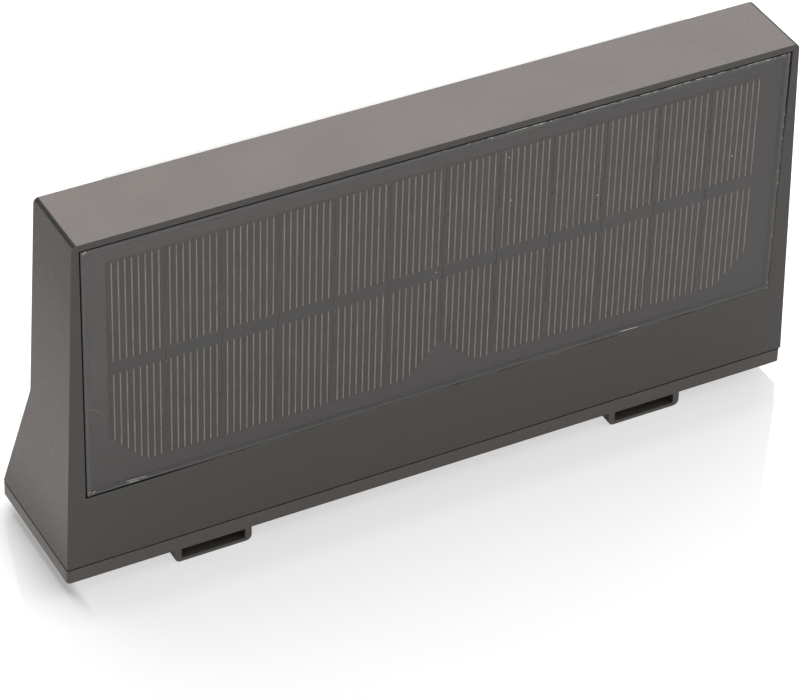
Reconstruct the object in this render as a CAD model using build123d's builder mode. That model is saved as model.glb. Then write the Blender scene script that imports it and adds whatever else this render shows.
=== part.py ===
"""Solar fence light: a wedge-shaped housing with a solar panel on its upright face.

The base plate closes the housing from below and carries two strap channels.
The light window is on the far side, in the upper part of the rear wall.
X runs along the length, Y from the panel side to the lit side, Z up.
The origin is under the middle of the light, level with the channels it stands on.
"""

import os
from math import atan, cos, sin, tan

from build123d import *

os.makedirs("parts", exist_ok=True)

# ---------------------------------------------------------------- driving sizes, mm
# Outside of the light
LENGTH = 285.0  # base plate and foot of the housing, along X
DEPTH = 55.0  # base plate, along Y
TOP_LENGTH = 274.7  # the end walls lean in towards the top
TOP_DEPTH = 30.7  # housing at its top
KINK_DEPTH = 32.2  # housing where the flare of the rear wall starts
BODY_HEIGHT = 140.2  # top of the housing above the underside of the base plate
KINK_HEIGHT = 61.1  # start of the flare above the underside of the base plate
PLATE_T = 5.4  # height of the base plate's edge
PLATE_CHAMFER = 0.3  # on the upper edge, so that it shows as a thin line under the gap
WALL = 2.4  # moulded walls of the housing
SEAM = 0.6  # shadow gap between housing and base plate
TOP_END_R = 2.0  # rounding of the two top edges over the ends
REAR_R = 0.8  # rounding of the rear edges
KINK_R = 10.0
PLATE_PROUD = 0.3  # the plate stands this far behind the flare

# Strap channels under the base plate
CHANNEL_X = (-87.5, 85.1)  # middle of each channel
CHANNEL_WIDTH = 29.4
CHANNEL_DROP = 5.6  # below the underside of the plate
SLOT_WIDTH = 24.4
SLOT_HEIGHT = 4.1
CHANNEL_LIP = 1.3  # wall under the slot
CHANNEL_CORNER = 2.2

# Solar panel and its recess
RECESS_LENGTH = 269.8
RECESS_HEIGHT = 102.7
RECESS_FOOT = 35.0  # lower edge above the underside of the base plate
RECESS_DEPTH = 3.2
RECESS_FLOOR = 2.0
PANEL_GAP = 0.6  # open between panel and recess, above and at the sides
PANEL_FOOT_GAP = 0.3
TAPE_T = 0.4
TAPE_WIDTH = 6.0
BACKING_T = 1.2
CELL_T = 0.25
RIBBON_T = 0.15
COVER_T = 1.4
STRIPS = 12  # slices of cell, joined in a row
STRIP_PITCH = 20.83
STRIP_GAP = 0.4
CELL_TOP = 129.2  # above the underside of the base plate
CELL_FOOT = 42.8
CELL_CORNER = 13.2  # cut corner of a round-cornered wafer
BUSBAR_HEIGHT = 85.7
BUSBAR_WIDTH = 5.4
LINK_WIDTH = 1.6  # short ribbons that bridge the slices
LINK_SPANS = ((88.6, 105.2), (75.9, 82.8), (43.1, 59.0))

# Light window, in the plane of the rear wall
WINDOW_LENGTH = 216.0
WINDOW_HEIGHT = 62.4
DIFFUSER_LENGTH = 226.0
DIFFUSER_HEIGHT = 72.2
DIFFUSER_T = 2.15
DIFFUSER_BELOW_TOP = 0.8  # its top edge under the top of the housing
GASKET_T = 0.4

# Light engine behind the window
TRAY_FLANGE_T = 1.6
TRAY_DEPTH = 10.6  # from the inner face of the rear wall to the tray's back
TRAY_FLOOR = 2.0
LED_BOARD_T = 1.6
LED_COLUMNS = 10
LED_ROWS = 2
LED_PITCH_X = 19.0
LED_PITCH_Z = 26.0

# Screws that close the base
SCREW_X = (-130.0, 130.0)
SCREW_Y = (-21.7, 16.0)
BOSS_R = 3.6
SCREW_SIDES = 6  # thread-forming screws have hexagonal shanks, in cored hexagonal holes
BOSS_HEIGHT = 17.0
FLOOR_T = 2.6  # floor of the base plate between its edges

# Control board, on the back of the recess floor
BOARD_LENGTH = 80.0
BOARD_HEIGHT = 26.0
BOARD_MIDDLE_Z = 57.0
BOARD_T = 1.6
BOARD_STANDOFF = 4.0

# Batteries, one holder on each side
CELL_R = 9.1
CELL_LENGTH = 65.0
HOLDER_X = 83.0
HOLDER_Y = -2.0
HOLDER_LENGTH = 76.0
HOLDER_WIDTH = 22.0
TROUGH_CLEARANCE = 0.3
POLE_R = 3.0
POLE_LENGTH = 1.2
CONTACT_T = 0.5
POST_HEIGHT = 5.0

# Slide switch, seen from below in a shallow well
WELL_LENGTH = 18.0
WELL_WIDTH = 11.0
WELL_DEPTH = 3.0
SWITCH_TRAVEL = 4.0
STEM = (3.6, 2.6)

# ---------------------------------------------------------------- derived levels
plate_foot = CHANNEL_DROP
plate_top = plate_foot + PLATE_T
floor_top = plate_foot + FLOOR_T
body_foot = plate_top + SEAM
body_top = plate_foot + BODY_HEIGHT
kink_z = plate_foot + KINK_HEIGHT
front_y = -DEPTH / 2
rear_y = DEPTH / 2
flare_foot_y = rear_y - PLATE_PROUD
rear_top_y = front_y + TOP_DEPTH
rear_kink_y = front_y + KINK_DEPTH
recess_z = plate_foot + RECESS_FOOT + RECESS_HEIGHT / 2
recess_back_y = front_y + RECESS_DEPTH
front_inner_y = recess_back_y + RECESS_FLOOR

# The upper rear wall leans by under a degree: pieces on it use its own plane.
lean = atan((rear_kink_y - rear_top_y) / (body_top - kink_z))
window_z = body_top - DIFFUSER_BELOW_TOP - DIFFUSER_HEIGHT / 2
window_y = rear_top_y + (body_top - window_z) * tan(lean)
rear_wall = Plane(
    origin=(0, window_y, window_z), x_dir=(-1, 0, 0), z_dir=(0, cos(lean), sin(lean))
)


def finish(piece, label):
    """Names a finished piece and writes it under that name."""
    piece.part.label = label
    export_step(piece.part, f"parts/{label}.step")


def facing_front(y):
    """A plane at depth y, looking out of the panel side."""
    return Plane.XZ.offset(-y)


# ---------------------------------------------------------------- housing
tray_boss_x = 119.0
tray_boss_z = 18.0
tray_boss_height = 6.0
board_hole_x = BOARD_LENGTH / 2 - 4
board_hole_z = BOARD_HEIGHT / 2 - 3.5
board_back_y = front_inner_y + BOARD_STANDOFF
lead_slot_z = plate_foot + RECESS_FOOT + 75

with BuildPart() as housing:
    # Side profile: upright front, level top, leaning rear wall and flare.
    with BuildSketch(Plane.YZ):
        with BuildLine():
            Polyline(
                (front_y, body_foot),
                (front_y, body_top),
                (rear_top_y, body_top),
                (rear_kink_y, kink_z),
                (flare_foot_y, body_foot),
                close=True,
            )
        make_face()
    extrude(amount=LENGTH / 2, both=True)
    # Front view: the ends lean in towards the top.
    with BuildSketch(Plane.XZ):
        with BuildLine():
            Polyline(
                (-LENGTH / 2, body_foot),
                (LENGTH / 2, body_foot),
                (TOP_LENGTH / 2, body_top),
                (-TOP_LENGTH / 2, body_top),
                close=True,
            )
        make_face()
    extrude(amount=DEPTH, both=True, mode=Mode.INTERSECT)

    # Even wall all round, open at the foot.
    offset(amount=-WALL, openings=housing.faces().sort_by(Axis.Z)[0])

    # Soft kink, then rounded top edges over the ends, then the whole rear outline.
    # The edges round the front stay crisp.
    kink_edge = housing.edges().filter_by(Axis.X).sort_by_distance((0, rear_kink_y, kink_z))[0]
    fillet(kink_edge, KINK_R)
    top_face = housing.faces().sort_by(Axis.Z)[-1]
    fillet(top_face.edges().filter_by(Axis.Y), TOP_END_R)
    rear_top_edge = housing.edges().filter_by(Axis.X).sort_by_distance((0, rear_top_y, body_top))[0]
    rear_corners = [
        edge
        for end in (housing.faces().sort_by(Axis.X)[0], housing.faces().sort_by(Axis.X)[-1])
        for edge in end.edges()
        if edge.center().Y > front_y + 5 and body_foot + 1 < edge.center().Z < body_top - 3
    ]
    fillet([rear_top_edge] + rear_corners, REAR_R)

    # Thicker front wall behind the panel.
    with BuildSketch(facing_front(front_inner_y)):
        with Locations((0, recess_z)):
            Rectangle(RECESS_LENGTH + 2 * WALL - 1.6, RECESS_HEIGHT + WALL)
    extrude(amount=RECESS_FLOOR + RECESS_DEPTH - 0.5)

    # Four bosses take the screws from below.
    with BuildSketch(Plane.XY.offset(plate_top)):
        with Locations([(x, y) for x in SCREW_X for y in SCREW_Y]):
            Circle(BOSS_R)
    extrude(amount=BOSS_HEIGHT)

    # Bosses for the reflector tray, on the rear wall.
    with BuildSketch(rear_wall.offset(-WALL - tray_boss_height)):
        with GridLocations(2 * tray_boss_x, 2 * tray_boss_z, 2, 2):
            Circle(3.2)
    extrude(amount=tray_boss_height + 0.5)

    # Standoffs for the control board, on the back of the recess.
    with BuildSketch(facing_front(board_back_y)):
        with Locations((0, BOARD_MIDDLE_Z)):
            with GridLocations(2 * board_hole_x, 2 * board_hole_z, 2, 2):
                Rectangle(5, 5)
    extrude(amount=BOARD_STANDOFF + 0.5)

    # Recess for the panel.
    with BuildSketch(facing_front(front_y)):
        with Locations((0, recess_z)):
            Rectangle(RECESS_LENGTH, RECESS_HEIGHT)
    extrude(amount=-RECESS_DEPTH, mode=Mode.SUBTRACT)

    # Slot in the recess floor for the panel's leads.
    with BuildSketch(facing_front(recess_back_y)):
        with Locations((0, lead_slot_z)):
            Rectangle(16, 4)
    extrude(amount=-RECESS_FLOOR - 1, mode=Mode.SUBTRACT)

    # Light window.
    with BuildSketch(rear_wall):
        Rectangle(WINDOW_LENGTH, WINDOW_HEIGHT)
    extrude(amount=WALL + 0.5, both=True, mode=Mode.SUBTRACT)

    # Cored holes in the bosses and standoffs.
    with BuildSketch(Plane.XY.offset(plate_top)):
        with Locations([(x, y) for x in SCREW_X for y in SCREW_Y]):
            RegularPolygon(1.5, SCREW_SIDES)
    extrude(amount=10.5, mode=Mode.SUBTRACT)
    with BuildSketch(rear_wall.offset(-WALL - tray_boss_height)):
        with GridLocations(2 * tray_boss_x, 2 * tray_boss_z, 2, 2):
            RegularPolygon(1.1, SCREW_SIDES)
    extrude(amount=5.5, mode=Mode.SUBTRACT)
    with BuildSketch(facing_front(board_back_y)):
        with Locations((0, BOARD_MIDDLE_Z)):
            with GridLocations(2 * board_hole_x, 2 * board_hole_z, 2, 2):
                RegularPolygon(1.1, SCREW_SIDES)
    extrude(amount=4.5, mode=Mode.SUBTRACT)
finish(housing, "housing")

# ---------------------------------------------------------------- base plate
holder_post_x = HOLDER_LENGTH / 2 + 4
switch_post_x = WELL_LENGTH / 2 + 6.5
well_roof_z = plate_foot + WELL_DEPTH
well_wall = 1.8
lip_gap = WALL + 0.3
lip_shift = 0.7
lip_length = LENGTH - 2 * lip_gap
lip_width = DEPTH - 2 * lip_gap - 2 * lip_shift
lip_t = 1.2
lip_top = plate_top + 2.4
slot_z = CHANNEL_LIP + SLOT_HEIGHT / 2
slot_length = SWITCH_TRAVEL + STEM[0] + 0.6
slot_width = STEM[1] + 0.6

with BuildPart() as base_plate:
    # Shallow tray with a flat underside.
    with BuildSketch(Plane.XY.offset(plate_foot)):
        Rectangle(LENGTH, DEPTH)
    extrude(amount=PLATE_T)
    fillet(base_plate.edges().filter_by(Axis.Z), 1.5)
    chamfer(base_plate.faces().sort_by(Axis.Z)[-1].edges(), PLATE_CHAMFER)
    with BuildSketch(Plane.XY.offset(floor_top)):
        Rectangle(LENGTH - 2 * WALL, DEPTH - 2 * WALL)
    extrude(amount=PLATE_T, mode=Mode.SUBTRACT)

    # Locating lip that stands up inside the housing; the flare needs more room.
    with BuildSketch(Plane.XY.offset(floor_top)):
        with Locations((0, -lip_shift)):
            Rectangle(lip_length, lip_width)
            Rectangle(lip_length - 2 * lip_t, lip_width - 2 * lip_t, mode=Mode.SUBTRACT)
    extrude(amount=lip_top - floor_top)

    # Screw pillars meet the bosses of the housing.
    with BuildSketch(Plane.XY.offset(plate_top)):
        with Locations([(x, y) for x in SCREW_X for y in SCREW_Y]):
            Circle(BOSS_R + 0.4)
    extrude(amount=PLATE_T, mode=Mode.SUBTRACT)
    with BuildSketch(Plane.XY.offset(plate_foot + 0.5)):
        with Locations([(x, y) for x in SCREW_X for y in SCREW_Y]):
            Circle(BOSS_R + 0.4)
    extrude(amount=PLATE_T - 0.5)

    # Posts for the battery holders and for the switch.
    with BuildSketch(Plane.XY.offset(floor_top)):
        with Locations((-HOLDER_X, HOLDER_Y), (HOLDER_X, HOLDER_Y)):
            with GridLocations(2 * holder_post_x, 0, 2, 1):
                Rectangle(5, 5)
    extrude(amount=POST_HEIGHT)
    with BuildSketch(Plane.XY.offset(floor_top - 0.5)):
        with GridLocations(2 * switch_post_x, 0, 2, 1):
            Rectangle(5, 5)
        Rectangle(WELL_LENGTH + 2 * well_wall, WELL_WIDTH + 2 * well_wall)
    extrude(amount=plate_top - floor_top + 0.5)

    # Strap channels, open at both ends, with rounded lower corners.
    with BuildSketch(Plane.XZ) as channel_ends:
        with Locations([(x, CHANNEL_DROP / 2 + 0.25) for x in CHANNEL_X]):
            Rectangle(CHANNEL_WIDTH, CHANNEL_DROP + 0.5)
        fillet(channel_ends.vertices().group_by(Axis.Y)[0], CHANNEL_CORNER)
    extrude(amount=DEPTH / 2, both=True)
    with BuildSketch(Plane.XZ):
        with Locations([(x, slot_z) for x in CHANNEL_X]):
            Rectangle(SLOT_WIDTH, SLOT_HEIGHT)
    extrude(amount=DEPTH / 2 + 1, both=True, mode=Mode.SUBTRACT)

    # Counterbored holes for the closing screws, from below.
    with Locations(Plane.XY.offset(plate_foot) * Rot(180, 0, 0)):
        with Locations([(x, -y) for x in SCREW_X for y in SCREW_Y]):
            CounterBoreHole(radius=1.65, counter_bore_radius=3.3, counter_bore_depth=2.4, depth=PLATE_T + 1)

    # Switch well with the slot for the stem, and the cored holes from above.
    with BuildSketch(Plane.XY.offset(plate_foot)):
        RectangleRounded(WELL_LENGTH, WELL_WIDTH, 2)
    extrude(amount=WELL_DEPTH, mode=Mode.SUBTRACT)
    with BuildSketch(Plane.XY.offset(well_roof_z)):
        Rectangle(slot_length, slot_width)
    extrude(amount=plate_top, mode=Mode.SUBTRACT)
    with BuildSketch(Plane.XY.offset(plate_top)):
        with GridLocations(2 * switch_post_x, 0, 2, 1):
            RegularPolygon(1.0, SCREW_SIDES)
    extrude(amount=-4, mode=Mode.SUBTRACT)
    with BuildSketch(Plane.XY.offset(floor_top + POST_HEIGHT)):
        with Locations((-HOLDER_X, HOLDER_Y), (HOLDER_X, HOLDER_Y)):
            with GridLocations(2 * holder_post_x, 0, 2, 1):
                RegularPolygon(1.05, SCREW_SIDES)
    extrude(amount=-5, mode=Mode.SUBTRACT)
finish(base_plate, "base_plate")

# Seal in the shadow gap, set back so that the gap shows as a dark line.
with BuildPart() as base_gasket:
    with BuildSketch(Plane.XY.offset(plate_top)):
        Rectangle(LENGTH - 2.6, DEPTH - 2.6)
        Rectangle(LENGTH - 2 * WALL + 0.6, DEPTH - 2 * WALL + 0.6, mode=Mode.SUBTRACT)
    extrude(amount=SEAM)
finish(base_gasket, "base_gasket")


# ---------------------------------------------------------------- screws
def hex_screw(shank_r, shank_length, head_r, head_height):
    """A hex-head screw whose head sits on XY and whose shank points down."""
    with BuildPart() as screw:
        with BuildSketch(Plane.XY):
            RegularPolygon(head_r, 6)
        extrude(amount=head_height)
        with BuildSketch(Plane.XY):
            RegularPolygon(shank_r, SCREW_SIDES)
        extrude(amount=-shank_length)
    return screw.part


def write_group(label, piece, places):
    """Writes identical pieces, one solid at each place, as one node."""
    group = Compound(children=[place * piece for place in places])
    group.label = label
    export_step(group, f"parts/{label}.step")


# The closing screws show from below: round heads with a cross recess.
with BuildPart() as base_screw:
    with BuildSketch(Plane.XY):
        Circle(2.9)
    extrude(amount=1.8)
    with BuildSketch(Plane.XY.offset(1.8)):
        Rectangle(3.4, 0.8)
        Rectangle(0.8, 3.4)
    extrude(amount=-1.1, mode=Mode.SUBTRACT)
    with BuildSketch(Plane.XY):
        RegularPolygon(1.45, SCREW_SIDES)
    extrude(amount=-12.5)

from_below = Rot(180, 0, 0)
write_group(
    "base_screws",
    base_screw.part,
    [Pos(x, y, plate_foot + 2.4) * from_below for x in SCREW_X for y in SCREW_Y],
)

# ---------------------------------------------------------------- solar panel
panel_length = RECESS_LENGTH - 2 * PANEL_GAP
panel_height = RECESS_HEIGHT - PANEL_GAP - PANEL_FOOT_GAP
panel_z = recess_z + (PANEL_FOOT_GAP - PANEL_GAP) / 2
tape_y = recess_back_y - TAPE_T
backing_y = tape_y - BACKING_T
cell_y = backing_y - CELL_T
cell_top_z = plate_foot + CELL_TOP
cell_foot_z = plate_foot + CELL_FOOT
busbar_z = plate_foot + BUSBAR_HEIGHT
link_middles = [(low + high) / 2 + plate_foot for low, high in LINK_SPANS]
link_lengths = [high - low for low, high in LINK_SPANS]

# Ring of adhesive between the recess floor and the back of the panel.
with BuildPart() as panel_adhesive:
    with BuildSketch(facing_front(recess_back_y)):
        with Locations((0, panel_z)):
            Rectangle(panel_length - 3, panel_height - 3)
            Rectangle(
                panel_length - 3 - 2 * TAPE_WIDTH,
                panel_height - 3 - 2 * TAPE_WIDTH,
                mode=Mode.SUBTRACT,
            )
    extrude(amount=TAPE_T)
finish(panel_adhesive, "panel_adhesive")

with BuildPart() as panel_backing:
    with BuildSketch(facing_front(tape_y)):
        with Locations((0, panel_z)):
            Rectangle(panel_length, panel_height)
    extrude(amount=BACKING_T)
    # Two solder holes over the lead slot of the recess.
    with BuildSketch(facing_front(tape_y)):
        with Locations((0, lead_slot_z)):
            with GridLocations(12, 0, 2, 1):
                Rectangle(1.6, 1.6)
    extrude(amount=BACKING_T, mode=Mode.SUBTRACT)
finish(panel_backing, "panel_backing")


# Two round-cornered wafers side by side, each cut into upright slices.
wafer_length = STRIPS / 2 * STRIP_PITCH
cell_middle = (0, (cell_top_z + cell_foot_z) / 2)
with BuildPart() as solar_cells:
    with BuildSketch(facing_front(backing_y)) as wafers:
        with Locations(cell_middle):
            with GridLocations(wafer_length, 0, 2, 1):
                Rectangle(wafer_length - STRIP_GAP, cell_top_z - cell_foot_z)
        chamfer(wafers.vertices().group_by(Axis.Y)[0], CELL_CORNER)
        with Locations(cell_middle):
            with GridLocations(STRIP_PITCH, 0, STRIPS - 1, 1):
                Rectangle(STRIP_GAP, RECESS_HEIGHT, mode=Mode.SUBTRACT)
    extrude(amount=CELL_T)
finish(solar_cells, "solar_cells")

# Wide tinned ribbons along the busbar, one to a slice.
with BuildPart() as cell_ribbons:
    with BuildSketch(facing_front(cell_y)):
        with Locations((0, busbar_z)):
            with GridLocations(STRIP_PITCH, 0, STRIPS, 1):
                Rectangle(STRIP_PITCH - STRIP_GAP, BUSBAR_WIDTH)
    extrude(amount=RIBBON_T)
finish(cell_ribbons, "cell_ribbons")

# Short upright ribbons over the cuts; the notch between the wafers has no lower one.
with BuildPart() as link_ribbons:
    for middle, length in zip(link_middles, link_lengths):
        with BuildSketch(facing_front(cell_y)):
            with Locations((0, middle)):
                with GridLocations(STRIP_PITCH, 0, STRIPS - 1, 1):
                    Rectangle(LINK_WIDTH, length)
        extrude(amount=RIBBON_T)
    with BuildSketch(facing_front(cell_y)):
        with Locations((0, cell_foot_z)):
            Rectangle(STRIP_PITCH, 2 * CELL_CORNER + 8)
    extrude(amount=RIBBON_T, mode=Mode.SUBTRACT)
finish(link_ribbons, "link_ribbons")

# Clear cover with a shallow pocket in its back for the cells and their ribbons.
with BuildPart() as panel_cover:
    with BuildSketch(facing_front(backing_y)):
        with Locations((0, panel_z)):
            Rectangle(panel_length, panel_height)
    extrude(amount=COVER_T)
    with BuildSketch(facing_front(backing_y)):
        with Locations(cell_middle):
            Rectangle(2 * wafer_length, cell_top_z - cell_foot_z)
    extrude(amount=CELL_T + RIBBON_T, mode=Mode.SUBTRACT)
finish(panel_cover, "panel_cover")

# ---------------------------------------------------------------- light window
spigot_length = WINDOW_LENGTH - 1.0
spigot_height = WINDOW_HEIGHT - 1.0
spigot_t = 1.6

with BuildPart() as diffuser:
    with BuildSketch(rear_wall.offset(GASKET_T)):
        RectangleRounded(DIFFUSER_LENGTH, DIFFUSER_HEIGHT, 4)
    extrude(amount=DIFFUSER_T)
    chamfer(diffuser.faces().sort_by(Axis.Y)[-1].edges(), 0.6)
    # Spigot that drops into the window.
    with BuildSketch(rear_wall.offset(GASKET_T)):
        Rectangle(spigot_length, spigot_height)
        Rectangle(spigot_length - 2 * spigot_t, spigot_height - 2 * spigot_t, mode=Mode.SUBTRACT)
    extrude(amount=-GASKET_T - WALL + 0.2)
finish(diffuser, "diffuser")

with BuildPart() as diffuser_gasket:
    with BuildSketch(rear_wall):
        Rectangle(DIFFUSER_LENGTH - 3, DIFFUSER_HEIGHT - 3)
        Rectangle(WINDOW_LENGTH + 1, WINDOW_HEIGHT + 1, mode=Mode.SUBTRACT)
    extrude(amount=GASKET_T)
finish(diffuser_gasket, "diffuser_gasket")

# ---------------------------------------------------------------- light engine
tray_back = -WALL - TRAY_DEPTH
ear_level = -WALL - tray_boss_height
ear_t = 2.0
tray_post_u = (-76.0, -19.0, 19.0, 76.0)
tray_post_height = 3.0
led_size = (3.5, 2.8, 0.8)

# White tray with sloping sides, a flange round the window and four screw ears.
with BuildPart() as reflector_tray:
    with BuildSketch(rear_wall.offset(-WALL)):
        Rectangle(WINDOW_LENGTH + 10, WINDOW_HEIGHT + 5)
    extrude(amount=-TRAY_FLANGE_T)
    with BuildSketch(rear_wall.offset(-WALL)):
        Rectangle(WINDOW_LENGTH + 2, WINDOW_HEIGHT + 2)
    with BuildSketch(rear_wall.offset(tray_back)):
        Rectangle(WINDOW_LENGTH - 20, WINDOW_HEIGHT - 10)
    loft()
    with BuildSketch(rear_wall.offset(ear_level)):
        with GridLocations(2 * tray_boss_x - 13, 0, 2, 1):
            Rectangle(22, 46)
    extrude(amount=-ear_t)
    with BuildSketch(rear_wall.offset(-WALL)):
        Rectangle(WINDOW_LENGTH - 1, WINDOW_HEIGHT - 1)
    with BuildSketch(rear_wall.offset(tray_back + TRAY_FLOOR)):
        Rectangle(WINDOW_LENGTH - 24, WINDOW_HEIGHT - 14)
    loft(mode=Mode.SUBTRACT)
    # Posts in the tray take the screws of the lamp board.
    with BuildSketch(rear_wall.offset(tray_back)):
        with Locations([(u, 0) for u in tray_post_u]):
            RegularPolygon(2.6, SCREW_SIDES)
    extrude(amount=TRAY_FLOOR + tray_post_height)
    with BuildSketch(rear_wall.offset(tray_back)):
        with GridLocations(LED_PITCH_X, LED_PITCH_Z, LED_COLUMNS, LED_ROWS):
            Rectangle(led_size[0] + 2, led_size[1] + 2)
    extrude(amount=TRAY_FLOOR, mode=Mode.SUBTRACT)
    with BuildSketch(rear_wall.offset(tray_back)):
        with Locations([(u, 0) for u in tray_post_u]):
            RegularPolygon(1.05, SCREW_SIDES)
    extrude(amount=4.4, mode=Mode.SUBTRACT)
    with BuildSketch(rear_wall.offset(ear_level)):
        with GridLocations(2 * tray_boss_x, 2 * tray_boss_z, 2, 2):
            RegularPolygon(1.35, SCREW_SIDES)
    extrude(amount=-ear_t, mode=Mode.SUBTRACT)
finish(reflector_tray, "reflector_tray")

with BuildPart() as led_board:
    with BuildSketch(rear_wall.offset(tray_back)):
        Rectangle(WINDOW_LENGTH - 22, WINDOW_HEIGHT - 14)
        with Locations([(u, 0) for u in tray_post_u]):
            RegularPolygon(1.2, SCREW_SIDES, mode=Mode.SUBTRACT)
    extrude(amount=-LED_BOARD_T)
finish(led_board, "led_board")

# A lamp: a white package with a shallow cup for the phosphor.
with BuildPart() as led:
    with BuildSketch(Plane.XY):
        Rectangle(led_size[0], led_size[1])
    extrude(amount=led_size[2])
    with BuildSketch(Plane.XY.offset(led_size[2])):
        Rectangle(led_size[0] - 0.9, led_size[1] - 0.7)
    extrude(amount=-0.25, mode=Mode.SUBTRACT)

on_tray_back = rear_wall.offset(tray_back).location
led_grid = GridLocations(LED_PITCH_X, LED_PITCH_Z, LED_COLUMNS, LED_ROWS)
write_group("leds", led.part, [on_tray_back * place for place in led_grid])
write_group(
    "led_board_screws",
    hex_screw(0.98, 5.6, 2.0, 1.3),
    [on_tray_back * Pos(u, 0, -LED_BOARD_T) * from_below for u in tray_post_u],
)
on_ears = rear_wall.offset(ear_level - ear_t).location
write_group(
    "tray_screws",
    hex_screw(1.03, 6.0, 2.1, 1.4),
    [on_ears * place * from_below for place in GridLocations(2 * tray_boss_x, 2 * tray_boss_z, 2, 2)],
)

# ---------------------------------------------------------------- control board
component_y = board_back_y + BOARD_T
component_face = Plane(
    origin=(0, component_y, BOARD_MIDDLE_Z), x_dir=(-1, 0, 0), z_dir=(0, 1, 0)
)
board_holes = GridLocations(2 * board_hole_x, 2 * board_hole_z, 2, 2)

with BuildPart() as control_board:
    with BuildSketch(component_face):
        Rectangle(BOARD_LENGTH, BOARD_HEIGHT)
        with board_holes:
            RegularPolygon(1.2, SCREW_SIDES, mode=Mode.SUBTRACT)
    extrude(amount=-BOARD_T)
finish(control_board, "control_board")

on_board = component_face.location
write_group(
    "board_screws",
    hex_screw(1.03, 5.4, 2.1, 1.4),
    [on_board * place for place in board_holes],
)

with BuildPart() as chip:
    with BuildSketch(Plane.XY):
        Rectangle(5.0, 4.0)
    extrude(amount=1.6)
    chamfer(chip.faces().sort_by(Axis.Z)[-1].edges(), 0.25)
    # Legs on both long sides.
    with BuildSketch(Plane.XY):
        with GridLocations(1.27, 4.8, 4, 2):
            Rectangle(0.5, 1.2)
    extrude(amount=0.3)
write_group("control_chips", chip.part, [on_board * Pos(-8, 4, 0), on_board * Pos(5, 4, 0)])

with BuildPart() as board_inductor:
    with BuildSketch(component_face):
        with Locations((22, 3)):
            Rectangle(8, 8)
    extrude(amount=1)
    with BuildSketch(component_face.offset(1)):
        with Locations((22, 3)):
            Circle(3.8)
    extrude(amount=4)
finish(board_inductor, "board_inductor")

with BuildPart() as capacitor:
    with BuildSketch(Plane.XY):
        Rectangle(6.6, 6.6)
    extrude(amount=0.8)
    with BuildSketch(Plane.XY.offset(0.8)):
        Circle(3.0)
    extrude(amount=5.6)
write_group("board_capacitors", capacitor.part, [on_board * Pos(x, 3, 0) for x in (-20, -29)])

with BuildPart() as socket:
    with BuildSketch(Plane.XY):
        Rectangle(7.4, 4.6)
    extrude(amount=6.0)
    with BuildSketch(Plane.XY.offset(6.0)):
        Rectangle(6.0, 3.4)
    extrude(amount=-5.0, mode=Mode.SUBTRACT)
    # Two contact pins.
    with BuildSketch(Plane.XY.offset(1.0)):
        with GridLocations(2.5, 0, 2, 1):
            Rectangle(0.6, 0.6)
    extrude(amount=3.6)
write_group(
    "board_sockets", socket.part, [on_board * Pos(x, -9, 0) for x in (-24, -8, 8, 24)]
)

# ---------------------------------------------------------------- batteries
holder_height = 14.0
trough_r = CELL_R + TROUGH_CLEARANCE
trough_length = HOLDER_LENGTH - 4
axis_height = 2.0 + trough_r
tab_t = 2.0

# Holder, cell and contacts are made at the origin and seated on each side.
with BuildPart() as holder:
    with BuildSketch(Plane.XY):
        Rectangle(HOLDER_LENGTH, HOLDER_WIDTH)
    extrude(amount=holder_height)
    # Screw tabs on both ends.
    with BuildSketch(Plane.XY.offset(POST_HEIGHT)):
        Rectangle(HOLDER_LENGTH + 14, 8)
    extrude(amount=tab_t)
    # Trough for the cell, open above.
    with BuildSketch(Plane.YZ):
        with Locations((0, axis_height)):
            Circle(trough_r)
        with Locations((0, axis_height + holder_height / 2)):
            Rectangle(2 * trough_r, holder_height)
    extrude(amount=trough_length / 2, both=True, mode=Mode.SUBTRACT)
    # Windows in the side walls and screw holes in the tabs.
    with BuildSketch(Plane.XZ):
        with GridLocations(24, 0, 3, 1):
            with Locations((0, axis_height)):
                Rectangle(16, 6)
    extrude(amount=HOLDER_WIDTH, both=True, mode=Mode.SUBTRACT)
    with BuildSketch(Plane.XY.offset(POST_HEIGHT)):
        with GridLocations(2 * holder_post_x, 0, 2, 1):
            RegularPolygon(1.35, SCREW_SIDES)
    extrude(amount=tab_t, mode=Mode.SUBTRACT)

# Profile of the cell from its flat end to its raised pole, turned about its axis.
with BuildPart() as battery:
    with BuildSketch(Plane.XZ):
        with BuildLine():
            Polyline(
                (0, 0),
                (CELL_R, 0),
                (CELL_R, CELL_LENGTH),
                (POLE_R, CELL_LENGTH),
                (POLE_R, CELL_LENGTH + POLE_LENGTH),
                (0, CELL_LENGTH + POLE_LENGTH),
                close=True,
            )
        make_face()
    revolve(axis=Axis.Z)

# Flat contact for the pole, bowed leaf for the other end.
with BuildPart() as pole_contact:
    with BuildSketch(Plane.YZ):
        Rectangle(10, 10)
    extrude(amount=CONTACT_T)
leaf_reach = trough_length - CELL_LENGTH - POLE_LENGTH - CONTACT_T
leaf_tip = leaf_reach - 0.02
with BuildPart() as leaf_contact:
    with BuildSketch(Plane.XZ):
        with BuildLine():
            Line((CONTACT_T, -4.5), (CONTACT_T, 4.5))
            ThreePointArc((CONTACT_T, -4.5), (leaf_tip, 0), (CONTACT_T, 4.5))
        make_face()
        with BuildLine():
            Line((CONTACT_T, -4), (CONTACT_T, 4))
            ThreePointArc((CONTACT_T, -4), (leaf_tip - CONTACT_T, 0), (CONTACT_T, 4))
        make_face(mode=Mode.SUBTRACT)
        with Locations((CONTACT_T / 2, 0)):
            Rectangle(CONTACT_T, 10)
    extrude(amount=3.5, both=True)

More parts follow.
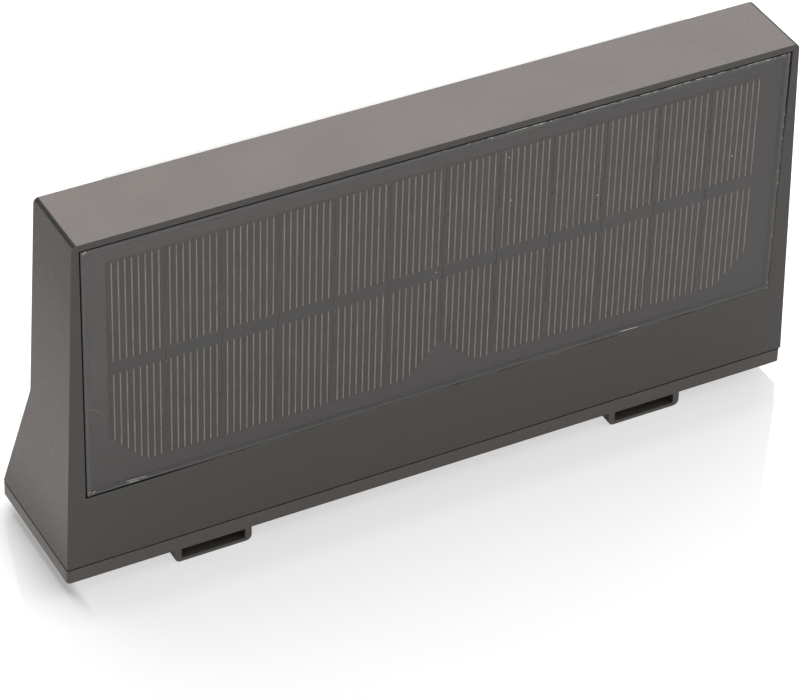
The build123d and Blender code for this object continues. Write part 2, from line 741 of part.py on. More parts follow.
lying = Rot(0, 90, 0)
cell_axis = floor_top + axis_height - TROUGH_CLEARANCE + 0.02
trough_left = -trough_length / 2
for side, x in (("left", -HOLDER_X), ("right", HOLDER_X)):
    seated_holder = Pos(x, HOLDER_Y, floor_top) * holder.part
    seated_holder.label = f"battery_holder_{side}"
    export_step(seated_holder, f"parts/battery_holder_{side}.step")
    seated_cell = Pos(x + trough_left + leaf_reach, HOLDER_Y, cell_axis) * lying * battery.part
    seated_cell.label = f"battery_cell_{side}"
    export_step(seated_cell, f"parts/battery_cell_{side}.step")

sides = (-HOLDER_X, HOLDER_X)
contact_z = floor_top + axis_height
contacts = Compound(
    children=[Pos(x + trough_left, HOLDER_Y, contact_z) * leaf_contact.part for x in sides]
    + [Pos(x - trough_left - CONTACT_T, HOLDER_Y, contact_z) * pole_contact.part for x in sides]
)
contacts.label = "battery_contacts"
export_step(contacts, "parts/battery_contacts.step")
write_group(
    "holder_screws",
    hex_screw(1.0, 6.0, 2.1, 1.4),
    [
        Pos(x + end * holder_post_x, HOLDER_Y, floor_top + POST_HEIGHT + tab_t)
        for x in sides
        for end in (-1, 1)
    ],
)

# ---------------------------------------------------------------- switch
seal_t = 0.8
bracket_t = 0.8
bracket_z = plate_top + seal_t
switch_z = bracket_z + bracket_t
off_x = -SWITCH_TRAVEL / 2

with BuildPart() as switch_seal:
    with BuildSketch(Plane.XY.offset(plate_top)):
        Rectangle(2 * switch_post_x + 6.4, 12)
        Rectangle(slot_length, slot_width, mode=Mode.SUBTRACT)
        with GridLocations(2 * switch_post_x, 0, 2, 1):
            RegularPolygon(1.2, SCREW_SIDES, mode=Mode.SUBTRACT)
    extrude(amount=seal_t)
finish(switch_seal, "switch_seal")

with BuildPart() as switch_bracket:
    with BuildSketch(Plane.XY.offset(bracket_z)):
        Rectangle(2 * switch_post_x + 5.6, 9)
        Rectangle(slot_length, slot_width, mode=Mode.SUBTRACT)
        with GridLocations(2 * switch_post_x, 0, 2, 1):
            RegularPolygon(1.2, SCREW_SIDES, mode=Mode.SUBTRACT)
    extrude(amount=bracket_t)
finish(switch_bracket, "switch_bracket")

with BuildPart() as switch_body:
    with BuildSketch(Plane.XY.offset(switch_z)):
        Rectangle(20, 9)
    extrude(amount=6.5)
    chamfer(switch_body.faces().sort_by(Axis.Z)[-1].edges(), 0.5)
    # Room for the head of the knob to travel.
    with BuildSketch(Plane.XY.offset(switch_z)):
        Rectangle(slot_length, 6.6)
    extrude(amount=2.2, mode=Mode.SUBTRACT)
finish(switch_body, "switch_body")

with BuildPart() as switch_terminals:
    with BuildSketch(Plane.XY.offset(switch_z + 6.5)):
        with GridLocations(5, 0, 3, 1):
            Rectangle(0.5, 2)
    extrude(amount=3.5)
finish(switch_terminals, "switch_terminals")

# Knob: ribbed thumb cap in the well, stem through the slot, head inside the switch.
with BuildPart() as switch_knob:
    with BuildSketch(Plane.XY.offset(well_roof_z - 0.2)):
        with Locations((off_x, 0)):
            RectangleRounded(9, 7, 1)
    extrude(amount=-2.0)
    with BuildSketch(Plane.XY.offset(well_roof_z - 2.2)):
        with Locations((off_x, 0)):
            with GridLocations(1.6, 0, 4, 1):
                Rectangle(0.7, 5.4)
    extrude(amount=0.6, mode=Mode.SUBTRACT)
    with BuildSketch(Plane.XY.offset(well_roof_z - 0.4)):
        with Locations((off_x, 0)):
            Rectangle(STEM[0], STEM[1])
    extrude(amount=switch_z + 0.3 - well_roof_z + 0.4)
    with BuildSketch(Plane.XY.offset(switch_z + 0.15)):
        with Locations((off_x, 0)):
            Rectangle(STEM[0], 6.0)
    extrude(amount=1.6)
finish(switch_knob, "switch_knob")

write_group(
    "switch_screws",
    hex_screw(0.95, 4.6, 2.0, 1.3),
    [Pos(end * switch_post_x, 0, switch_z) for end in (-1, 1)],
)
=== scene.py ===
# %% [markdown]
# # Dressing a solar fence light
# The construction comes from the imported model: a wedge-shaped moulded housing, a solar
# panel on its upright face, an opal light window behind it and a base plate with two strap
# channels. This file gives every piece its finish and adds the thin things that are not
# worth a solid: the printed fingers on the cells, chips and crumbs along the edges of the
# panel, and a few hairs.

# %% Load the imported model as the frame
import math
import random

import bmesh
import bpy
from mathutils import Matrix, Vector


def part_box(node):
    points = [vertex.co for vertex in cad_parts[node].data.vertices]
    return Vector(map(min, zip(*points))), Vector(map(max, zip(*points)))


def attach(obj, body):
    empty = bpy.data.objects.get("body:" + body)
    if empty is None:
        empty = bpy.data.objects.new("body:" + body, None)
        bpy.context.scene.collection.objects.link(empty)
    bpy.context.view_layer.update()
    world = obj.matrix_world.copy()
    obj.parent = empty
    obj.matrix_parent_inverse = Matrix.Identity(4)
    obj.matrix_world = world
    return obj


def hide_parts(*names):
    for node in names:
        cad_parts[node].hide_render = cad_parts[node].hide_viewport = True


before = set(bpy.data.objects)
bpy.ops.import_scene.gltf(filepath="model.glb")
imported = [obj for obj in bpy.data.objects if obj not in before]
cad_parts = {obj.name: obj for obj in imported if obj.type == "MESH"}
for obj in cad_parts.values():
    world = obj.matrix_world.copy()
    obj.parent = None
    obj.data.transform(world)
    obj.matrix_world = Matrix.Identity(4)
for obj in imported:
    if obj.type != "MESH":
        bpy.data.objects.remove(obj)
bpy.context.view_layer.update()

MM = 0.001

# %% [markdown]
# ## Camera
# The light was photographed from far away with a long lens, a little from the left and
# from above, and the camera was rolled slightly. A real camera is placed the same way:
# it stands somewhere, turns to an azimuth, tips down by an elevation, then rolls.

# %% Place the camera
CAMERA_PLACE = Vector((-0.54381, -0.98492, 0.90534))
AZIMUTH = math.radians(28.85)
ELEVATION = math.radians(37.59)
ROLL = math.radians(1.80)
SENSOR_WIDTH, LENS = 36, 180.9  # both in millimetres

camera_data = bpy.data.cameras.new("camera")
camera_data.sensor_fit = "HORIZONTAL"
camera_data.sensor_width = SENSOR_WIDTH
camera_data.lens = LENS
camera = bpy.data.objects.new("camera", camera_data)
camera.matrix_world = (
    Matrix.Translation(CAMERA_PLACE)
    @ Matrix.Rotation(-AZIMUTH, 4, "Z")
    @ Matrix.Rotation(math.pi / 2 - ELEVATION, 4, "X")
    @ Matrix.Rotation(ROLL, 4, "Z")
)
bpy.context.collection.objects.link(camera)
bpy.context.scene.camera = camera
bpy.context.scene.view_settings.view_transform = "Standard"
print("camera distance in m:", round(CAMERA_PLACE.length, 2))

# %% [markdown]
# ## Helpers for nodes
# Every finish below is a Principled shader with a few noises on Object coordinates. Those
# are metres on the piece itself, so a grain of 0.9 mm is a noise of scale 1 / 0.0009, and
# the pattern stays on the piece from any side. A few small helpers keep the recipes short.

# %% Start a material and fill a node's slots
def tone(red, green, blue):
    """An 8-bit screen colour as the linear colour that a shader takes."""
    def linear(value):
        value = value / 255
        return value / 12.92 if value <= 0.04045 else ((value + 0.055) / 1.055) ** 2.4
    return (linear(red), linear(green), linear(blue), 1.0)


def new_finish(name):
    """An empty finish: a material with only its Principled shader."""
    material = bpy.data.materials.new(name)
    material.use_nodes = True
    return material, material.node_tree.nodes["Principled BSDF"]


def finish_node(node_name, material):
    """Puts a finish on a piece of the frame."""
    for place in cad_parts[node_name].material_slots:
        place.material = material


# %% Patterns on the piece
def noise(material, size, detail=2.0, stretch=(1, 1, 1)):
    """Noise with features about `size` metres across, fixed to the piece."""
    nodes, links = material.node_tree.nodes, material.node_tree.links
    where = nodes.new("ShaderNodeTexCoord")
    mapping = nodes.new("ShaderNodeMapping")
    mapping.inputs["Scale"].default_value = stretch
    texture = nodes.new("ShaderNodeTexNoise")
    texture.inputs["Scale"].default_value = 1 / size
    texture.inputs["Detail"].default_value = detail
    links.new(where.outputs["Object"], mapping.inputs["Vector"])
    links.new(mapping.outputs["Vector"], texture.inputs["Vector"])
    return texture.outputs["Fac"]


def spread(material, value, low, high, source=(0.3, 0.7)):
    """Stretches a range to low and high; the usual range of a noise unless given."""
    reach = material.node_tree.nodes.new("ShaderNodeMapRange")
    reach.inputs["From Min"].default_value = source[0]
    reach.inputs["From Max"].default_value = source[1]
    reach.inputs["To Min"].default_value = low
    reach.inputs["To Max"].default_value = high
    material.node_tree.links.new(value, reach.inputs["Value"])
    return reach.outputs["Result"]


def blend_colours(material, amount, first, second):
    """A colour between two others; either one may be a tone or a socket."""
    links = material.node_tree.links
    mix = material.node_tree.nodes.new("ShaderNodeMix")
    mix.data_type = "RGBA"
    links.new(amount, mix.inputs[0])
    for socket, colour in ((mix.inputs[6], first), (mix.inputs[7], second)):
        if isinstance(colour, tuple):
            socket.default_value = colour
        else:
            links.new(colour, socket)
    return mix.outputs[2]


def raise_grain(material, height, depth):
    """Turns a pattern into relief `depth` metres deep."""
    nodes, links = material.node_tree.nodes, material.node_tree.links
    bump = nodes.new("ShaderNodeBump")
    bump.inputs["Distance"].default_value = depth
    links.new(height, bump.inputs["Height"])
    links.new(bump.outputs["Normal"], nodes["Principled BSDF"].inputs["Normal"])


def mottled(name, first, second, size, detail, roughness):
    """A finish that drifts between two tones in patches about `size` metres across."""
    material, shader = new_finish(name)
    drift = spread(material, noise(material, size, detail), 0.0, 1.0)
    colour = blend_colours(material, drift, first, second)
    material.node_tree.links.new(colour, shader.inputs["Base Color"])
    shader.inputs["Roughness"].default_value = roughness
    return material


# %% Places on the piece
def near(material, value, middle, reach):
    """1 where a coordinate is within reach of the middle, else 0."""
    test = material.node_tree.nodes.new("ShaderNodeMath")
    test.operation = "COMPARE"
    material.node_tree.links.new(value, test.inputs[0])
    test.inputs[1].default_value = middle
    test.inputs[2].default_value = reach
    return test.outputs[0]


def combine(material, operation, first, *others):
    """Joins two or more sockets by one arithmetic operation."""
    for other in others:
        step = material.node_tree.nodes.new("ShaderNodeMath")
        step.operation = operation
        material.node_tree.links.new(first, step.inputs[0])
        material.node_tree.links.new(other, step.inputs[1])
        first = step.outputs[0]
    return first


def axes_of(material, source="Object"):
    """The X, Y and Z of a place on the piece, or of the direction its surface faces."""
    nodes, links = material.node_tree.nodes, material.node_tree.links
    split = nodes.new("ShaderNodeSeparateXYZ")
    if source == "Normal":
        links.new(nodes.new("ShaderNodeNewGeometry").outputs["Normal"], split.inputs[0])
    else:
        links.new(nodes.new("ShaderNodeTexCoord").outputs["Object"], split.inputs[0])
    return split.outputs


def add_region(material, region, colour):
    """Puts a colour over the present one where the region is 1."""
    socket = material.node_tree.nodes["Principled BSDF"].inputs["Base Color"]
    present = socket.links[0].from_socket
    material.node_tree.links.new(blend_colours(material, region, present, colour), socket)


# %% [markdown]
# ## Grained plastic
# The mould of such a housing is spark-eroded, which leaves a fine even grain on its broad
# faces. The grain scatters light, so those faces look paler than the plastic really is.
# The small rounded edges are painted dark as the dark reflection seen on them: nearly
# black on the housing, a darker grey on the base plate. One recipe serves both mouldings.
# It finds the rounded top edges by their normal, which points sideways and upwards at
# once: the product of the two parts is near 0 elsewhere. The faces that look to the front
# get a tone of their own; on the housing it is more neutral and, as painted shade, darker
# than its top and ends.
# A grained face also has less shine than a smooth one, so its specular level is low.

# %% Recipe for a grained moulding
CLOUDS = 30 * MM
GRAIN = 0.9 * MM
GRAIN_DEPTH = 0.12 * MM
FACING_FRONT = (-0.9, -0.6)  # Y of the normal
ROUNDED = (0.08, 0.16)  # product of the normal's X and Z


def grained_plastic(name, pale, deep, front, edge, edge_above):
    """Pale and deep tones of the grain, and the painted tones of the front and of the dark edges
    above a height.
    """
    material, shader = new_finish(name)
    shader.inputs["Specular IOR Level"].default_value = 0.3
    links = material.node_tree.links
    clouds = spread(material, noise(material, CLOUDS, 3), 0.0, 1.0)
    specks = noise(material, GRAIN, 2)
    cloudy = blend_colours(material, clouds, deep, pale)
    speckled = blend_colours(material, spread(material, specks, 0.0, 0.6), cloudy, deep)

    # Painted tones: the front faces get their own tone, darker on the housing as painted shade, and
    # the rounded top edges a dark tone as a painted reflection.
    normal = axes_of(material, "Normal")
    to_front = spread(material, normal["Y"], 1.0, 0.0, FACING_FRONT)
    broad = blend_colours(material, to_front, speckled, front)
    product = combine(material, "MULTIPLY", normal["X"], normal["Z"])
    # A product of either sign counts: the larger of it and its negative.
    either = combine(material, "MAXIMUM", product, spread(material, product, 1.0, -1.0, (-1, 1)))
    rounded = spread(material, either, 0.0, 1.0, ROUNDED)
    high = spread(material, axes_of(material)["Z"], 0.0, 1.0, (edge_above, edge_above + 1 * MM))
    painted_dark_edge = combine(material, "MULTIPLY", rounded, high)
    links.new(blend_colours(material, painted_dark_edge, broad, edge), shader.inputs["Base Color"])

    links.new(spread(material, specks, 0.46, 0.6), shader.inputs["Roughness"])
    raise_grain(material, specks, GRAIN_DEPTH)
    return material


# %% Finish both mouldings
housing_plastic = grained_plastic(
    "housing_plastic",
    tone(114, 107, 104),
    tone(104, 98, 95),
    tone(99, 97, 95),
    tone(12, 12, 12),
    edge_above=138 * MM,
)
base_plastic = grained_plastic(
    "base_plastic",
    tone(118, 112, 108),
    tone(108, 104, 100),
    tone(113, 108, 104),
    tone(80, 77, 74),
    edge_above=0.0,
)
finish_node("housing", housing_plastic)
finish_node("base_plate", base_plastic)

# Painted shade: the ends are darker towards the top and right at the foot.
FACING_LEFT = (-0.9, -0.7)  # X of the normal
END_TOP = (62 * MM, 128 * MM)
END_FOOT = (15 * MM, 34 * MM)
end_height = axes_of(housing_plastic)["Z"]
end_normal = axes_of(housing_plastic, "Normal")
end_facing = spread(housing_plastic, end_normal["X"], 1.0, 0.0, FACING_LEFT)
upper = spread(housing_plastic, end_height, 0.0, 1.0, END_TOP)
foot = spread(housing_plastic, end_height, 0.9, 0.0, END_FOOT)
end_shade = combine(housing_plastic, "MAXIMUM", upper, foot)
painted_shade_on_end = combine(housing_plastic, "MULTIPLY", end_facing, end_shade)
add_region(housing_plastic, painted_shade_on_end, tone(84, 78, 75))
print("mouldings finished:", housing_plastic.name, base_plastic.name)

# %% [markdown]
# The slots of the strap channels are formed by steel cores, which are polished so that
# they slide out. Their walls are painted darker as shade, since little light gets in. The
# region is a box in the piece's own coordinates: a Compare node is 1 where a coordinate
# is close to the middle of the slot.

# %% Painted shade inside the slots
SLOT_MIDDLES = (-87.5 * MM, 85.1 * MM)
SLOT_MIDDLE_Z = 3.35 * MM
SLOT_REACH = (12.25 * MM, 27.35 * MM, 2.1 * MM)

axes = axes_of(base_plastic)
in_each = [near(base_plastic, axes["X"], x, SLOT_REACH[0]) for x in SLOT_MIDDLES]
painted_slot_shade = combine(
    base_plastic,
    "MULTIPLY",
    combine(base_plastic, "ADD", *in_each),
    near(base_plastic, axes["Y"], 0.0, SLOT_REACH[1]),
    near(base_plastic, axes["Z"], SLOT_MIDDLE_Z, SLOT_REACH[2]),
)
# Painted shade on the walls inside the slots.
add_region(base_plastic, painted_slot_shade, tone(84, 82, 79))
print("slots darkened:", len(SLOT_MIDDLES))

# %% [markdown]
# The two mouldings meet at the seam. The flat faces inside it are painted dark as shade,
# and so are the edges at the left end, so the seam looks widest there.

# %% Painted shade in the seam
PLATE_TOP = 11.0 * MM
HOUSING_FOOT = 11.6 * MM
END_X = -142.5 * MM
FLAT = 0.05 * MM
SEAM_SHADE_REACH = 0.35 * MM
SEAM_SHADE_ON_PLATE = 0.32 * MM
SEAM_SHADE_TONE = tone(24, 23, 23)

# Painted shade on the flat faces inside the seam and, at the left end, on the edges beside it.
add_region(base_plastic, near(base_plastic, axes["Z"], PLATE_TOP, FLAT), SEAM_SHADE_TONE)
for material, edge_z, reach_z in (
    (base_plastic, PLATE_TOP, SEAM_SHADE_ON_PLATE),
    (housing_plastic, HOUSING_FOOT, SEAM_SHADE_REACH),
):
    place = axes_of(material)
    seam_shaded = combine(
        material,
        "MULTIPLY",
        near(material, place["X"], END_X, SEAM_SHADE_REACH),
        near(material, place["Z"], edge_z, reach_z),
    )
    add_region(material, seam_shaded, SEAM_SHADE_TONE)
print("seam faces darkened")

# %% [markdown]
# ## Seals
# The seal between housing and base plate sits deep in its gap and is seen as a black
# line. Rubber is almost black and dull, with a little bloom on it. The foam tape behind
# the panel and round the window is the same kind of dark, with visible cells.

# %% Rubber and foam tape
def soft_black(name, dark, bloom, cell, depth):
    """A dull dark finish with a paler bloom and a relief of small cells."""
    material, shader = new_finish(name)
    links = material.node_tree.links
    dust = noise(material, 4 * MM, 3)
    colour = blend_colours(material, spread(material, dust, 0.0, 1.0), dark, bloom)
    links.new(colour, shader.inputs["Base Color"])
    links.new(spread(material, dust, 0.75, 0.9), shader.inputs["Roughness"])
    raise_grain(material, noise(material, cell, 2), depth)
    return material


rubber = soft_black("black_rubber", tone(12, 12, 12), tone(22, 21, 21), 0.5 * MM, 0.02 * MM)
foam = soft_black("foam_tape", tone(46, 45, 44), tone(60, 58, 57), 0.25 * MM, 0.06 * MM)
for node_name in ("base_gasket", "switch_seal"):
    finish_node(node_name, rubber)
for node_name in ("panel_adhesive", "diffuser_gasket"):
    finish_node(node_name, foam)
print("seals finished:", rubber.name, foam.name)

# %% [markdown]
# ## Solar panel
# Under its clear cover the panel is a dark laminate with twelve slices of silicon. The
# colours are close to each other: the laminate is a greenish grey, the silicon a brownish
# one, and the ribbons that join the slices are coated dark, like the laminate.

# %% Laminate, silicon and ribbons
def flat_layer(name, first, second, blotch, roughness):
    """A dark layer whose tint drifts in blotches."""
    material, shader = new_finish(name)
    shader.inputs["Specular IOR Level"].default_value = 0.8
    links = material.node_tree.links
    drift = spread(material, noise(material, blotch, 2), 0.0, 1.0)
    links.new(blend_colours(material, drift, first, second), shader.inputs["Base Color"])
    shine = spread(material, noise(material, 1.5 * MM, 2), roughness - 0.05, roughness + 0.05)
    links.new(shine, shader.inputs["Roughness"])
    return material


laminate = flat_layer("panel_board", tone(102, 98, 96), tone(106, 98, 96), 22 * MM, 0.45)
silicon = flat_layer("silicon_cells", tone(80, 65, 65), tone(77, 69, 68), 9 * MM, 0.45)
ribbon = flat_layer("tinned_ribbon", tone(76, 78, 76), tone(82, 73, 71), 12 * MM, 0.45)

# Painted shade: the laminate darkens from the middle of the left side to the right and to the foot.
DARKER_AT_RIGHT, DARKER_AT_FOOT = 1.0, 0.75
panel_low, panel_high = (Vector(corner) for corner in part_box("panel_backing"))
panel_middle_z = (panel_low.z + panel_high.z) / 2
place = axes_of(laminate)
rightwards = spread(laminate, place["X"], 0.0, DARKER_AT_RIGHT, (panel_low.x, panel_high.x))
downwards = spread(laminate, place["Z"], 0.0, DARKER_AT_FOOT, (panel_middle_z, panel_low.z))
painted_shade_amount = combine(laminate, "MAXIMUM", rightwards, downwards)
add_region(laminate, spread(laminate, painted_shade_amount, 0.0, 0.9, (0, 1)), tone(74, 73, 71))
finish_node("panel_backing", laminate)

# Painted light: the cut edges of silicon and ribbon are painted much paler than their faces.
for material in (silicon, ribbon):
    painted_light_on_cut = spread(material, axes_of(material, "Normal")["Y"], 0.0, 1.0, FACING_FRONT)
    add_region(material, painted_light_on_cut, tone(176, 168, 162))
finish_node("solar_cells", silicon)
finish_node("cell_ribbons", ribbon)
finish_node("link_ribbons", ribbon)
print("panel layers finished")

# %% [markdown]
# ## Printed fingers
# Each slice carries eight fine silver lines that gather its current. They run from top
# to bottom and stop at the ribbon across the middle. They are real metal on the surface,
# so they are thin bars here, not a texture: a texture fine enough for a 0.4 mm line on a
# 250 mm panel would be far larger than 192 bars of six faces. At the cut corners of the
# two wafers the lines end higher, along the slanted edge.

# %% Where the fingers run
STRIPS = 12
STRIP_GAP = 0.4 * MM
FINGERS = 8
FINGER_PITCH = 2.42 * MM
FINGER_WIDTH = 0.42 * MM
FINGER_T = 0.04 * MM
CELL_CORNER = 13.2 * MM
EDGE_MARGIN = 0.6 * MM

cells_low, cells_high = (Vector(corner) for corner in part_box("solar_cells"))
ribbon_low, ribbon_high = (Vector(corner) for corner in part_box("cell_ribbons"))
cells_middle = (cells_low.x + cells_high.x) / 2
strip_pitch = (cells_high.x - cells_low.x + STRIP_GAP) / STRIPS
wafer_length = strip_pitch * STRIPS / 2


def foot_of_cell(x):
    """Height of the cell's lower edge at x: level, or rising at a cut corner."""
    along = (x - cells_low.x) % wafer_length
    to_side = min(along, wafer_length - along)
    return cells_low.z + max(0.0, CELL_CORNER - to_side)


print("strip pitch in mm:", round(strip_pitch / MM, 2))


# %% Make the bars
def add_bar(mesh, low, high):
    """Adds a box between two corners to a bmesh."""
    middle = (low + high) / 2
    size = high - low
    place = Matrix.Translation(middle) @ Matrix.Diagonal((*size, 1))
    bmesh.ops.create_cube(mesh, size=1, matrix=place)


def add_piece(name, mesh, material, body="lamp"):
    """Turns a bmesh into a piece of the light that rides on a body."""
    data = bpy.data.meshes.new(name)
    mesh.to_mesh(data)
    mesh.free()
    data.materials.append(material)
    piece = bpy.data.objects.new(name, data)
    bpy.context.collection.objects.link(piece)
    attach(piece, body)
    return piece


fingers = bmesh.new()
surface = cells_low.y
for strip in range(STRIPS):
    strip_middle = cells_middle + (strip - (STRIPS - 1) / 2) * strip_pitch
    for finger in range(FINGERS):
        x = strip_middle + (finger - (FINGERS - 1) / 2) * FINGER_PITCH
        foot = foot_of_cell(x) + EDGE_MARGIN
        for low_z, high_z in ((foot, ribbon_low.z), (ribbon_high.z, cells_high.z - EDGE_MARGIN)):
            low = Vector((x - FINGER_WIDTH / 2, surface - FINGER_T, low_z))
            high = Vector((x + FINGER_WIDTH / 2, surface, high_z))
            add_bar(fingers, low, high)
print("bars:", 2 * STRIPS * FINGERS)

# %% [markdown]
# The silver isn't equally thick everywhere, so a finger looks brighter here and duller
# there. A noise that changes every few millimetres along the line does that.

# %% Finish of the fingers
silver = mottled("finger_silver", tone(170, 160, 155), tone(207, 197, 192), 5 * MM, 3, 0.5)
cell_fingers = add_piece("cell_fingers", fingers, silver)
print("faces in the fingers:", len(cell_fingers.data.polygons))

# %% [markdown]
# ## Clear cover
# The cover is a sheet of clear resin with a satin face. Nothing behind it is deep, so
# true refraction would only cost time. The sheet lets most light straight through, adds
# a slight haze and has its own soft gloss. It was sawn to size: the front edges were
# broken with a file in two strokes, and the cut is whitish in places, most of all along
# the top. The sides on the left and above are painted black as the shade in the gap
# round the sheet, and those on the right and below are painted a pale grey as light.

# %% Sheet with broken edges
cover_low, cover_high = (Vector(corner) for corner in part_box("panel_cover"))
COVER_EDGE = 0.34 * MM
LAYER_GAP = 0.02 * MM
AT_FACE = 0.01 * MM
cover_back = ribbon_low.y - LAYER_GAP

sheet_mesh = bmesh.new()
add_bar(sheet_mesh, cover_low, Vector((cover_high.x, cover_back, cover_high.z)))
front_edges = [
    edge
    for edge in sheet_mesh.edges
    if all(vert.co.y < cover_low.y + AT_FACE for vert in edge.verts)
]
bmesh.ops.bevel(
    sheet_mesh,
    geom=front_edges,
    affect="EDGES",
    offset=COVER_EDGE,
    segments=2,
    profile=0.5,
    material=-1,
)
print("cover thickness in mm:", round((cover_back - cover_low.y) / MM, 2))

# %% [markdown]
# Near its rim the resin is milky, which hides the depth of the sheet. Only rays from the
# camera meet the haze; light falls through the sheet unhindered.

# %% Clear resin
MILKY = (0.9 * MM, 2.3 * MM)
MILKY_RIM, CLEAR_MIDDLE = 0.85, 0.2

clear, clear_shader = new_finish("clear_cover")
clear_links = clear.node_tree.links
clear_shader.inputs["Specular IOR Level"].default_value = 1.0
haze = noise(clear, 14 * MM, 3)
haze_colour = blend_colours(
    clear, spread(clear, haze, 0.0, 1.0), tone(90, 88, 87), tone(96, 93, 92)
)
clear_links.new(haze_colour, clear_shader.inputs["Base Color"])
clear_links.new(spread(clear, haze, 0.36, 0.44), clear_shader.inputs["Roughness"])

sheet_axes = axes_of(clear)
rims = []
for axis, rim, side in (
    ("X", cover_low.x, -1),
    ("X", cover_high.x, 1),
    ("Z", cover_low.z, -1),
    ("Z", cover_high.z, 1),
):
    inner, outer = (rim - side * distance for distance in reversed(MILKY))
    rims.append(spread(clear, sheet_axes[axis], 0.0, 1.0, (inner, outer)))
milkiness = combine(clear, "MAXIMUM", *rims)
opacity = spread(clear, milkiness, CLEAR_MIDDLE, MILKY_RIM, (0, 1))
ray_kind = clear.node_tree.nodes.new("ShaderNodeLightPath")
clear_links.new(
    combine(clear, "MULTIPLY", opacity, ray_kind.outputs["Is Camera Ray"]),
    clear_shader.inputs["Alpha"],
)
panel_sheet = add_piece("panel_sheet", sheet_mesh, clear)
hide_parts("panel_cover")
print("faces in the sheet:", len(panel_sheet.data.polygons))

# %% [markdown]
# The whitish chips are a noise along X, cut off hard so that it makes dashes. A second
# noise with long waves decides where they crowd. They show on the right half of the top
# edge and along the right edge, so the position fades them in as well. Between the chips
# the broken edge is painted a paler grey than the haze, as a highlight.

# %% Chips on the broken edges
CHIP, CROWD = 2.2 * MM, 26 * MM
ALONG_EDGE = (1, 0.2, 0.6)
CHIPS_TO_RIGHT = (-10 * MM, 30 * MM)
CHIPS_UPWARDS = (45 * MM, 60 * MM)

chipped, chipped_shader = new_finish("chipped_edge")
chip_axes = axes_of(chipped)
dashes = spread(chipped, noise(chipped, CHIP, 3, ALONG_EDGE), 0.0, 1.0, (0.46, 0.56))
crowds = spread(chipped, noise(chipped, CROWD, 1, ALONG_EDGE), 0.3, 1.0, (0.4, 0.55))
to_right = spread(chipped, chip_axes["X"], 0.0, 1.0, CHIPS_TO_RIGHT)
upwards = spread(chipped, chip_axes["Z"], 0.25, 1.0, CHIPS_UPWARDS)
chips = combine(chipped, "MULTIPLY", dashes, crowds, to_right, upwards)
# Painted highlight: the broken edge between the chips is a paler grey; the whitish dashes are
# chips.
chip_and_highlight_colour = blend_colours(chipped, chips, tone(104, 102, 98), tone(250, 246, 240))
chip_roughness = spread(chipped, chips, 0.4, 0.8, (0, 1))
chipped.node_tree.links.new(chip_and_highlight_colour, chipped_shader.inputs["Base Color"])
chipped.node_tree.links.new(chip_roughness, chipped_shader.inputs["Roughness"])
raise_grain(chipped, dashes, 0.02 * MM)
print("edge finish:", chipped.name)

# %% [markdown]
# The half of a broken edge that leans to the front is chipped. The other half looks like
# the side of the sheet behind it.

# %% Sides of the sheet
# Painted shade: black on the left and upper sides. Painted light: a pale grey on the right and
# lower sides.
painted_gap_shade = soft_black("painted_gap_shade", tone(14, 13, 13), tone(24, 23, 22), 0.4 * MM, 0.02 * MM)
painted_light_side = flat_layer("painted_light_side", tone(156, 153, 149), tone(146, 143, 139), 8 * MM, 0.6)
for material in (painted_gap_shade, painted_light_side, chipped):
    panel_sheet.data.materials.append(material)
DARK_SIDE, LIT_SIDE, BROKEN_EDGE = 1, 2, 3
SIDEWAYS = 0.7  # X or Z of the normal
LEANING_TO_FRONT = (-0.99, -0.8)  # Y of the normal
for face in panel_sheet.data.polygons:
    if LEANING_TO_FRONT[0] < face.normal.y < LEANING_TO_FRONT[1]:
        face.material_index = BROKEN_EDGE
    elif face.normal.x < -SIDEWAYS or face.normal.z > SIDEWAYS:
        face.material_index = DARK_SIDE
    elif face.normal.x > SIDEWAYS or face.normal.z < -SIDEWAYS:
        face.material_index = LIT_SIDE
print("finishes on the sheet:", len(panel_sheet.data.materials))

# %% [markdown]
# Painted light: the walls of the recess to the right of the sheet and below it are
# painted paler in patches, as light that they catch. Painted shade: the lower left
# corner of the recess is painted black.

# %% Painted light and shade on the walls of the recess
WALL_GAP_X, WALL_GAP_Z = 0.6 * MM, 0.3 * MM
ON_WALL = 0.06 * MM
RECESS_Y, RECESS_REACH_Y = -24 * MM, 3.42 * MM
RIGHT_FADES = (100 * MM, 126 * MM)  # Z
LOWER_FADES = (-125 * MM, -85 * MM)  # X
DARK_FADES = (-110 * MM, -80 * MM)  # X

walls = axes_of(housing_plastic)
on_right_wall = near(housing_plastic, walls["X"], cover_high.x + WALL_GAP_X, ON_WALL)
on_lower_wall = near(housing_plastic, walls["Z"], cover_low.z - WALL_GAP_Z, ON_WALL)
inside = combine(
    housing_plastic,
    "MULTIPLY",
    near(housing_plastic, walls["X"], 0.0, cover_high.x + 2 * WALL_GAP_X),
    near(housing_plastic, walls["Y"], RECESS_Y, RECESS_REACH_Y),
)
painted_light_patches = noise(housing_plastic, 9 * MM, 3, (1, 0.1, 1))
patchy = spread(housing_plastic, painted_light_patches, 0.5, 1.0, (0.35, 0.5))
below_top = spread(housing_plastic, walls["Z"], 1.0, 0.1, RIGHT_FADES)
from_left = spread(housing_plastic, walls["X"], 0.1, 1.0, LOWER_FADES)
to_left = spread(housing_plastic, walls["X"], 1.0, 0.0, DARK_FADES)
for factors, colour in (
    ((on_lower_wall, from_left, inside, patchy), tone(160, 157, 152)),
    ((on_right_wall, below_top, inside, patchy), tone(194, 190, 184)),
    ((on_lower_wall, to_left, inside), tone(12, 12, 12)),
):
    add_region(housing_plastic, combine(housing_plastic, "MULTIPLY", *factors), colour)
print("recess walls finished")

